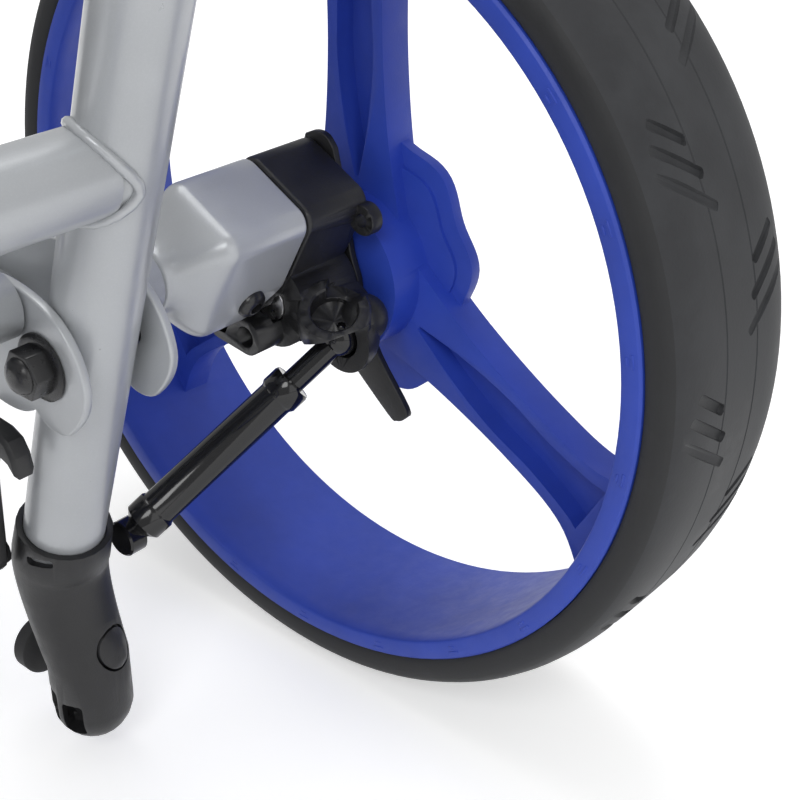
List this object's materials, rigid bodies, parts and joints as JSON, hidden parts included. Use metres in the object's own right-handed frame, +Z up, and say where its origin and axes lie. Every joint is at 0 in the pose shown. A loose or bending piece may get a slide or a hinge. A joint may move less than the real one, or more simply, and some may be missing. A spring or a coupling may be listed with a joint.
{
  "type": "golf push cart",
  "caption": "Folding three-wheel golf push cart: twin-rail frame on damped pivots, moulded wheels, bag tray and cradle, folding stem with loop handle.",
  "frame": {"origin": "on the ground, below the middle of the cart's box", "axes": "+X to the cart's right, +Y forward to the front wheel, +Z up"},
  "size_m": [0.5756, 1.0722, 1.0806],
  "materials": {
    "frame_paint": "satin light silver grey paint",
    "black_plastic": "fine moulded grain",
    "gloss_black": "gloss black",
    "black_steel": "black oxide",
    "rim_blue": "satin moulded blue",
    "tyre_rubber": "matt rubber",
    "soft_rubber": "matt",
    "steel": "bright",
    "webbing": "woven"
  },
  "bodies": {
    "lower_frame": {"axle_right": "steel", "axle_left": "steel", "wheel_bush_right": "steel", "wheel_bush_left": "steel", "leg_plate_outer_right": "frame_paint", "leg_plate_outer_left": "frame_paint", "leg_plate_inner_right": "frame_paint", "leg_plate_inner_left": "frame_paint", "wheel_arm_right": "frame_paint", "wheel_arm_left": "frame_paint", "arm_block_right": "frame_paint", "arm_block_left": "frame_paint", "wheel_housing_right": "black_plastic", "wheel_housing_left": "black_plastic", "block_screw_right": "black_steel", "block_screw_left": "black_steel", "fold_bolt_right": "black_steel", "fold_bolt_left": "black_steel", "front_leg_right": "frame_paint", "front_leg_left": "frame_paint", "leg_bolt_right": "black_steel", "leg_bolt_left": "black_steel", "axle_beam": "frame_paint", "front_bush": "steel", "front_axle": "steel", "leg_bridge": "frame_paint", "bag_tray": "black_plastic"},
    "upper_frame": {"rail_right": "frame_paint", "rail_left": "frame_paint", "cross_tube": "frame_paint", "upper_cross_tube": "frame_paint", "foot_right": "black_plastic", "foot_left": "black_plastic", "foot_stop_right": "soft_rubber", "foot_stop_left": "soft_rubber", "upper_cradle": "black_plastic", "bag_strap": "webbing", "stem_bracket": "black_plastic"},
    "wheel_right": {"wheel_rim_right": "rim_blue", "wheel_tyre_right": "tyre_rubber", "hub_cap_right": "black_plastic"},
    "brake_right": {"brake_lever_right": "black_plastic"},
    "strut_right": {"strut_rod_right": "gloss_black", "strut_sleeve_right": "gloss_black"},
    "latch_right": {"fold_latch_right": "black_plastic"},
    "wheel_left": {"wheel_rim_left": "rim_blue", "wheel_tyre_left": "tyre_rubber", "hub_cap_left": "black_plastic"},
    "brake_left": {"brake_lever_left": "black_plastic"},
    "strut_left": {"strut_rod_left": "gloss_black", "strut_sleeve_left": "gloss_black"},
    "latch_left": {"fold_latch_left": "black_plastic"},
    "front_wheel": {"front_rim": "rim_blue", "front_tyre": "tyre_rubber"},
    "stem": {"handle_stem": "frame_paint", "scorecard_console": "black_plastic"},
    "knob": {"handle_knob": "black_plastic"},
    "handle": {"handle_loop": "frame_paint", "handle_grip": "soft_rubber"}
  },
  "joints": [
    {"name": "frame_fold", "type": "hinge", "parent": "lower_frame", "child": "upper_frame", "pos_m": [0, -0.02688, 0.158], "axis": [-1, 0, 0], "range_deg": [0, 75]},
    {"name": "wheel_spin_right", "type": "hinge", "parent": "lower_frame", "child": "wheel_right", "pos_m": [0.226, -0.02388, 0.145], "axis": [1, 0, 0], "continuous": true},
    {"name": "brake_right", "type": "hinge", "parent": "lower_frame", "child": "brake_right", "pos_m": [0.244, -0.02388, 0.145], "axis": [1, 0, 0], "range_deg": [0, 20]},
    {"name": "strut_swing_right", "type": "hinge", "parent": "lower_frame", "child": "strut_right", "pos_m": [0.229, -0.04318, 0.1348], "axis": [-1, 0, 0], "range_deg": [0, 106]},
    {"name": "latch_right", "type": "hinge", "parent": "upper_frame", "child": "latch_right", "pos_m": [0.1244, 0.00912, 0.082], "axis": [-1, 0, 0], "range_deg": [0, 25], "stiffness_Nm_per_rad": 0.3, "springref_deg": -5.73},
    {"name": "wheel_spin_left", "type": "hinge", "parent": "lower_frame", "child": "wheel_left", "pos_m": [-0.226, -0.02388, 0.145], "axis": [1, 0, 0], "continuous": true},
    {"name": "brake_left", "type": "hinge", "parent": "lower_frame", "child": "brake_left", "pos_m": [-0.244, -0.02388, 0.145], "axis": [1, 0, 0], "range_deg": [0, 20]},
    {"name": "strut_swing_left", "type": "hinge", "parent": "lower_frame", "child": "strut_left", "pos_m": [-0.229, -0.04318, 0.1348], "axis": [-1, 0, 0], "range_deg": [0, 106]},
    {"name": "latch_left", "type": "hinge", "parent": "upper_frame", "child": "latch_left", "pos_m": [-0.1244, 0.00912, 0.082], "axis": [-1, 0, 0], "range_deg": [0, 25], "stiffness_Nm_per_rad": 0.3, "springref_deg": -5.73},
    {"name": "front_wheel_spin", "type": "hinge", "parent": "lower_frame", "child": "front_wheel", "pos_m": [0, 0.41612, 0.12], "axis": [1, 0, 0], "continuous": true},
    {"name": "handle_fold", "type": "hinge", "parent": "upper_frame", "child": "stem", "pos_m": [0, -0.21897, 0.71586], "axis": [1, 0, 0], "range_deg": [0, 120]},
    {"name": "handle_clamp", "type": "hinge", "parent": "upper_frame", "child": "knob", "pos_m": [0, -0.21897, 0.71586], "axis": [1, 0, 0], "range_deg": [0, 180]},
    {"name": "handle_tilt", "type": "hinge", "parent": "stem", "child": "handle", "pos_m": [0, -0.3212, 1.01275], "axis": [1, 0, 0], "range_deg": [-30, 30]}
  ],
  "couplings": [
    {"joint": "strut_swing_right", "follows": "frame_fold", "ratio": 1.393},
    {"joint": "strut_swing_left", "follows": "frame_fold", "ratio": 1.393}
  ]
}
